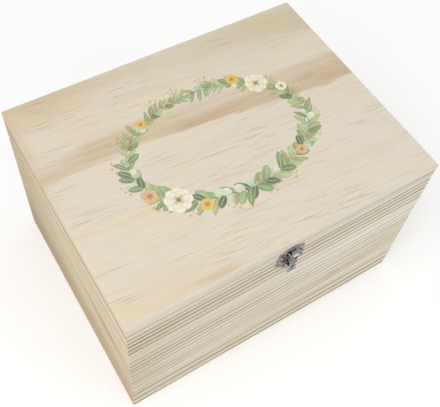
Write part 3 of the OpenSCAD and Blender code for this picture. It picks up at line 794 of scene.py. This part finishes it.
# the printed petals: darker rims, a tinted heart and fine rays
def petalInk(look):
    bench = Bench("petalInk")
    kind = look["petal"]
    along, across, tint = inkPlaces(bench)
    wash = blots(bench, look["washMm"], tint, 3.0)
    petal = bench.ramp(tint, stops(look["petalStops"]))
    shade = bench.mix(1.0, petal, paint(look["petalHeart"]), "MULTIPLY")
    heart = bench.times(bench.slope(along, *kind["heart"]), bench.line(wash, *kind["heartWash"]))
    petal = bench.mix(heart, petal, shade)
    ray = bench.noise((along, across), kind["rayWaves"], tint, detail=1.0)
    petal = bench.mix(bench.slope(ray, *kind["ray"]), petal, shade)
    petal = bench.mix(bench.slope(rimShare(bench, along, across), *kind["rim"]), petal, shade)
    return inkOnWood(bench, look, kind["cover"], petal)


# one plain speckled ink for stems and hearts
def stemInk(name, digits, look):
    bench = Bench(name)
    twig = look["twig"]
    wash = blots(bench, look["washMm"], twig["washSeed"], 3.0)
    speck = blots(bench, look["grainMm"], twig["speckSeed"])
    dark = bench.mix(1.0, paint(digits), paint(look["stemSpeck"]), "MULTIPLY")
    ink = bench.mix(bench.slope(speck, *twig["speck"]), paint(digits), dark)
    return inkOnWood(bench, look, bench.line(wash, *twig["cover"], clamp=True), ink)


# each share narrows what lies beyond a place on a round shape of half width 1
leafShapes = {
    "slender": {"longMm": 21.0, "wideMm": 6.2, "points": 22, "bendDeg": 22,
                "narrow": [(0.45, 0.9), (0.7, 0.8), (0.9, 0.55)]},
    "broad": {"longMm": 17.0, "wideMm": 8.4, "points": 22, "bendDeg": 12,
              "narrow": [(0.55, 0.86), (0.8, 0.72)]},
    "round": {"longMm": 11.5, "wideMm": 10.0, "points": 18, "bendDeg": 0, "narrow": [(0.8, 0.85)]},
    "petal": {"longMm": 10.0, "wideMm": 9.0, "points": 18, "bendDeg": 0, "narrow": [(-0.7, 0.7)]},
    "dot": {"longMm": 3.2, "wideMm": 3.2, "points": 12, "bendDeg": 0, "narrow": []},
    "twig": {"longMm": 10.0, "wideMm": 0.55, "points": 14, "bendDeg": 18, "narrow": [(0.6, 0.7)]},
}


# one flat shape with its foot at the origin, its tip along X and a thickness of one
def inkShape(name, look):
    dropAll()
    bpy.ops.mesh.primitive_circle_add(vertices=look["points"], radius=1.0, fill_type="NGON", calc_uvs=True)
    shape = bpy.context.active_object
    shape.name = name
    startEdit(shape)
    for start, share in look["narrow"]:
        if start > 0:
            pick(shape, "verts", lambda c: c.x > start)
        else:
            pick(shape, "verts", lambda c: c.x < start)
        bpy.ops.transform.resize(value=(1.0, share, 1.0))
    pickAll()
    bpy.ops.transform.translate(value=(1.0, 0.0, 0.0))
    size = (look["longMm"] / 2 * mm, look["wideMm"] / 2 * mm, 1.0)
    bpy.ops.transform.resize(value=size, center_override=(0, 0, 0))
    pull((0, 0, 1.0))
    endEdit()
    if look["bendDeg"]:
        bend = shape.modifiers.new("bend", "SIMPLE_DEFORM")
        bend.deform_method = "BEND"
        bend.deform_axis = "Z"
        bend.angle = math.radians(look["bendDeg"])
        bpy.ops.object.modifier_apply(modifier=bend.name)
    return shape


# copies of the ink shapes, each laid in its own layer so that no two share a plane
class Printer:
    def __init__(self, shapes, floor, look):
        self.masters = {name: inkShape("ink_" + name, shape) for name, shape in shapes.items()}
        self.floor = floor - look["sunkMm"] * mm
        self.look = look
        self.sheets = {}

    def lay(self, sheet, shape, at, turn, size, layer, tint=0.0):
        master = self.masters[shape]
        piece = master.copy()
        piece.data = master.data.copy()
        thick = (self.look["sunkMm"] + self.look["firstMm"] + layer * self.look["stepMm"]) * mm
        spin = Matrix.Rotation(turn, 4, "Z")
        scale = Matrix.Diagonal((size, size, thick, 1.0))
        piece.matrix_world = Matrix.Translation((at[0] * mm, at[1] * mm, self.floor)) @ spin @ scale
        shade = piece.data.attributes.new("tint", "FLOAT", "FACE")
        shade.data.foreach_set("value", [tint] * len(piece.data.polygons))
        bpy.context.scene.collection.objects.link(piece)
        self.sheets.setdefault(sheet, []).append(piece)

    def finish(self, materials):
        for sheet, pieces in self.sheets.items():
            dropAll()
            for piece in pieces:
                piece.select_set(True)
            bpy.context.view_layer.objects.active = pieces[0]
            bpy.ops.object.join()
            joined = bpy.context.active_object
            bpy.ops.object.transform_apply(location=True, rotation=True, scale=True)
            joined.name = sheet
            joined.data.materials.clear()
            joined.data.materials.append(materials[sheet])
            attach(joined, "lid")
        for master in self.masters.values():
            bpy.data.objects.remove(master, do_unlink=True)


wreathLook = {
    "sunkMm": 0.01, "firstMm": 0.02, "stepMm": 0.01,
    "halfWideMm": 112.0, "halfDeepMm": 74.0,
    "branchDeg": (-90, 86), "pitchMm": 7.6, "pitchSpread": (0.85, 1.15), "splayDeg": (34, 56), "seed": 11,
    "leafSize": (1.12, -0.38), "leafSpread": (0.82, 1.12), "jogMm": 1.2,
    "leafKinds": {"slender": {"foot": 3, "growth": 3, "tints": (0.15, 0.65)},
                  "broad": {"foot": 4, "growth": -2, "tints": (0.0, 0.45)},
                  "round": {"foot": 2, "growth": 0, "tints": (0.55, 1.0)}},
    "sprig": {"outMm": 4.0, "swing": 0.5, "branches": [(0.0, -0.55), (0.25, 0.0), (0.5, 0.5)],
              "twigSize": (1.0, 1.35), "berrySize": (0.8, 1.15), "berryTints": (0.45, 0.6, 0.95),
              "berryBackMm": 1.4},
    "petalRings": [(8, 1.0), (6, 0.72), (4, 0.46)], "ringTurn": 0.4, "petalFootMm": 1.2,
    "petalSpread": (0.94, 1.06), "petalTint": 0.04, "heartBackMm": 1.6,
    "seeds": 9, "seedReachMm": 2.7, "seedSize": 0.22,
    "leafLayers": 6, "berryLayer": 7.2, "bloomLayer": 8,
    "blooms": [{"deg": 222, "out": 0, "size": 1.45, "tint": 0.12, "rings": 3},
               {"deg": 240, "out": 6, "size": 0.72, "tint": 0.62, "rings": 2},
               {"deg": 203, "out": 5, "size": 0.8, "tint": 0.97, "rings": 2},
               {"deg": 43, "out": 0, "size": 1.3, "tint": 0.2, "rings": 3},
               {"deg": 60, "out": 6, "size": 0.74, "tint": 0.66, "rings": 2},
               {"deg": 24, "out": 5, "size": 0.66, "tint": 0.1, "rings": 2},
               {"deg": 128, "out": 2, "size": 0.6, "tint": 0.7, "rings": 2},
               {"deg": 310, "out": 2, "size": 0.62, "tint": 0.95, "rings": 2}],
    "sprigsDeg": [12, 33, 78, 98, 112, 145, 165, 188, 212, 232, 256, 276, 292, 328, 348],
}


def onOval(angle, look, out=0.0):
    return ((look["halfWideMm"] + out) * math.cos(angle), (look["halfDeepMm"] + out) * math.sin(angle))


# leaves in pairs along one half of the oval, from its foot at the front to its head at the back
def leafBranch(printer, look, chance, side):
    angle, head = [math.radians(degrees) for degrees in look["branchDeg"]]
    footSize, growth = look["leafSize"]
    kinds = look["leafKinds"]
    step = 0
    while angle < head:
        share = (angle + math.pi / 2) / math.pi
        x, y = onOval(angle, look)
        slopeX, slopeY = -look["halfWideMm"] * math.sin(angle), look["halfDeepMm"] * math.cos(angle)
        heading = math.atan2(slopeY, slopeX * side)
        weights = [kind["foot"] + kind["growth"] * share for kind in kinds.values()]
        for hand in (-1, 1):
            kind = chance.choices(list(kinds), weights)[0]
            splay = math.radians(chance.uniform(*look["splayDeg"])) * hand
            size = (footSize + growth * share) * chance.uniform(*look["leafSpread"])
            layer = 1 + (2 * step + (hand > 0)) % look["leafLayers"]
            jog = chance.uniform(-look["jogMm"], look["jogMm"])
            printer.lay("printedLeaves", kind, (x * side + jog, y + jog), heading + splay, size, layer,
                        chance.uniform(*kinds[kind]["tints"]))
        length = math.hypot(slopeX, slopeY)
        angle += look["pitchMm"] * chance.uniform(*look["pitchSpread"]) / length
        step += 1


# a twig with three berries, standing outwards from the oval
def berrySprig(printer, look, chance, degrees):
    sprig = look["sprig"]
    x, y = onOval(math.radians(degrees), look, sprig["outMm"])
    outwards = math.atan2(y / look["halfDeepMm"], x / look["halfWideMm"])
    outwards += chance.uniform(-sprig["swing"], sprig["swing"])
    for lift, branch in sprig["branches"]:
        turn = outwards + branch
        size = chance.uniform(*sprig["twigSize"])
        printer.lay("printedTwigs", "twig", (x, y), turn, size, lift)
        reach = leafShapes["twig"]["longMm"] * size
        end = (x + reach * math.cos(turn) - sprig["berryBackMm"], y + reach * math.sin(turn))
        printer.lay("printedBerries", "dot", end, turn, chance.uniform(*sprig["berrySize"]),
                    look["berryLayer"] + lift, chance.choice(sprig["berryTints"]))


# a round bloom of overlapping petals in rings, with a ring of dots at its heart
def rosette(printer, look, chance, bloom):
    x, y = onOval(math.radians(bloom["deg"]), look, bloom["out"])
    layer = look["bloomLayer"]
    start = chance.uniform(0, math.pi)
    for ring, (count, share) in enumerate(look["petalRings"][:bloom["rings"]]):
        size = bloom["size"] * share
        foot = look["petalFootMm"] * size
        for i in range(count):
            turn = start + ring * look["ringTurn"] + i * math.tau / count
            at = (x + foot * math.cos(turn), y + foot * math.sin(turn))
            tint = bloom["tint"] + chance.uniform(-look["petalTint"], look["petalTint"])
            spread = chance.uniform(*look["petalSpread"])
            printer.lay("printedPetals", "petal", at, turn, size * spread, layer + i % 2, tint)
        layer += 2
    heart = bloom["size"]
    printer.lay("printedHearts", "dot", (x - look["heartBackMm"] * heart, y), 0.0, heart, layer)
    reach = look["seedReachMm"] * heart
    for i in range(look["seeds"]):
        turn = start + i * math.tau / look["seeds"]
        at = (x + reach * math.cos(turn), y + reach * math.sin(turn))
        printer.lay("printedHearts", "dot", at, turn, look["seedSize"] * heart, layer)


hoopLook = {
    "widthMm": 0.9, "points": 120,
    "rings": [{"name": "printedHoopOuter", "turnDeg": 3.0, "share": 1.0, "layer": -1.0},
              {"name": "printedHoopInner", "turnDeg": -3.0, "share": 0.985, "layer": -0.5}],
}


# one of two thin twined ovals, the wreath's hoop
def hoopRing(look, oval, ring, material):
    dropAll()
    bpy.ops.mesh.primitive_circle_add(vertices=look["points"], radius=1.0, fill_type="NOTHING", calc_uvs=True)
    hoop = bpy.context.active_object
    hoop.name = ring["name"]
    startEdit(hoop)
    pickAll()
    width = look["widthMm"]
    wide, deep = oval["halfWideMm"] * ring["share"], oval["halfDeepMm"] * ring["share"]
    bpy.ops.transform.resize(value=(wide * mm, deep * mm, 1.0))
    pull((0, 0, 0))
    inwards = ((wide - width) / wide, (deep - width) / deep, 1.0)
    bpy.ops.transform.resize(value=inwards, center_override=(0, 0, 0))
    pickAll()
    bpy.ops.transform.rotate(value=math.radians(ring["turnDeg"]), orient_axis="Z", center_override=(0, 0, 0))
    bpy.ops.transform.translate(value=(0, 0, inkFloor - oval["sunkMm"] * mm))
    thick = oval["sunkMm"] + oval["firstMm"] + oval["stepMm"] * ring["layer"]
    pull((0, 0, thick * mm))
    endEdit()
    hoop.data.materials.append(material)
    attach(hoop, "lid")


def printWreath(look, ink):
    chance = random.Random(look["seed"])
    printer = Printer(leafShapes, inkFloor, look)
    for side in (1, -1):
        leafBranch(printer, look, chance, side)
    for degrees in look["sprigsDeg"]:
        berrySprig(printer, look, chance, degrees)
    for bloom in look["blooms"]:
        rosette(printer, look, chance, bloom)
    stem = stemInk("stemInk", ink["stem"], ink)
    petals = petalInk(ink)
    printer.finish({"printedLeaves": leafInk(ink), "printedTwigs": stem, "printedPetals": petals,
                    "printedBerries": petals, "printedHearts": stemInk("heartInk", ink["centre"], ink)})
    for ring in hoopLook["rings"]:
        hoopRing(hoopLook, look, ring, stem)


printWreath(wreathLook, inkLook)
print("print laid")


floorSetup = {"size": 12.0, "grey": (0.88, 0.88, 0.88, 1), "glow": 0.17}


# a white sweep that keeps the box's shadow
def layFloor(setup):
    dropAll()
    bpy.ops.mesh.primitive_plane_add(size=setup["size"], location=(0, 0, 0))
    floor = bpy.context.active_object
    floor.name = "floor"
    bench = Bench("floorPaper")
    path = bench.add("ShaderNodeLightPath")
    seen = bench.calc("MAXIMUM", path.outputs["Is Camera Ray"], path.outputs["Is Glossy Ray"])
    paper = bench.add("ShaderNodeBsdfDiffuse", {"Color": setup["grey"]})
    glow = bench.add("ShaderNodeEmission", {"Strength": bench.times(seen, setup["glow"])})
    both = bench.add("ShaderNodeAddShader", {0: paper.outputs[0], 1: glow.outputs[0]})
    floor.data.materials.append(bench.show(both))


lightSetup = {
    "skyStrength": 0.72, "aim": (0, 0, 0.1),
    "key": {"place": (-1.1, -0.5, 1.9), "size": 1.4, "power": 16.0},
    "fill": {"place": (0.9, -1.7, 0.8), "size": 1.2, "power": 5.0},
}


def hangLights(setup):
    bpy.context.scene.world = bpy.data.worlds.new("studio")
    bench = Bench("studio", bpy.context.scene.world)
    path = bench.add("ShaderNodeLightPath")
    seen = bench.calc("MAXIMUM", path.outputs["Is Camera Ray"], path.outputs["Is Transmission Ray"])
    strength = bench.line(seen, 1.0 - setup["skyStrength"], setup["skyStrength"])
    sky = bench.add("ShaderNodeBackground", {"Color": (1, 1, 1, 1), "Strength": strength})
    bench.show(sky, "ShaderNodeOutputWorld")

    for name in ("key", "fill"):
        lamp = setup[name]
        data = bpy.data.lights.new(name + "Light", "AREA")
        data.size = lamp["size"]
        data.energy = lamp["power"]
        hung = bpy.data.objects.new(name + "Light", data)
        bpy.context.scene.collection.objects.link(hung)
        aim = (Vector(setup["aim"]) - Vector(lamp["place"])).to_track_quat("-Z", "Y")
        hung.matrix_world = Matrix.Translation(lamp["place"]) @ aim.to_matrix().to_4x4()


layFloor(floorSetup)
hangLights(lightSetup)
bpy.context.scene.view_settings.view_transform = "Standard"
print("floor and lights set")
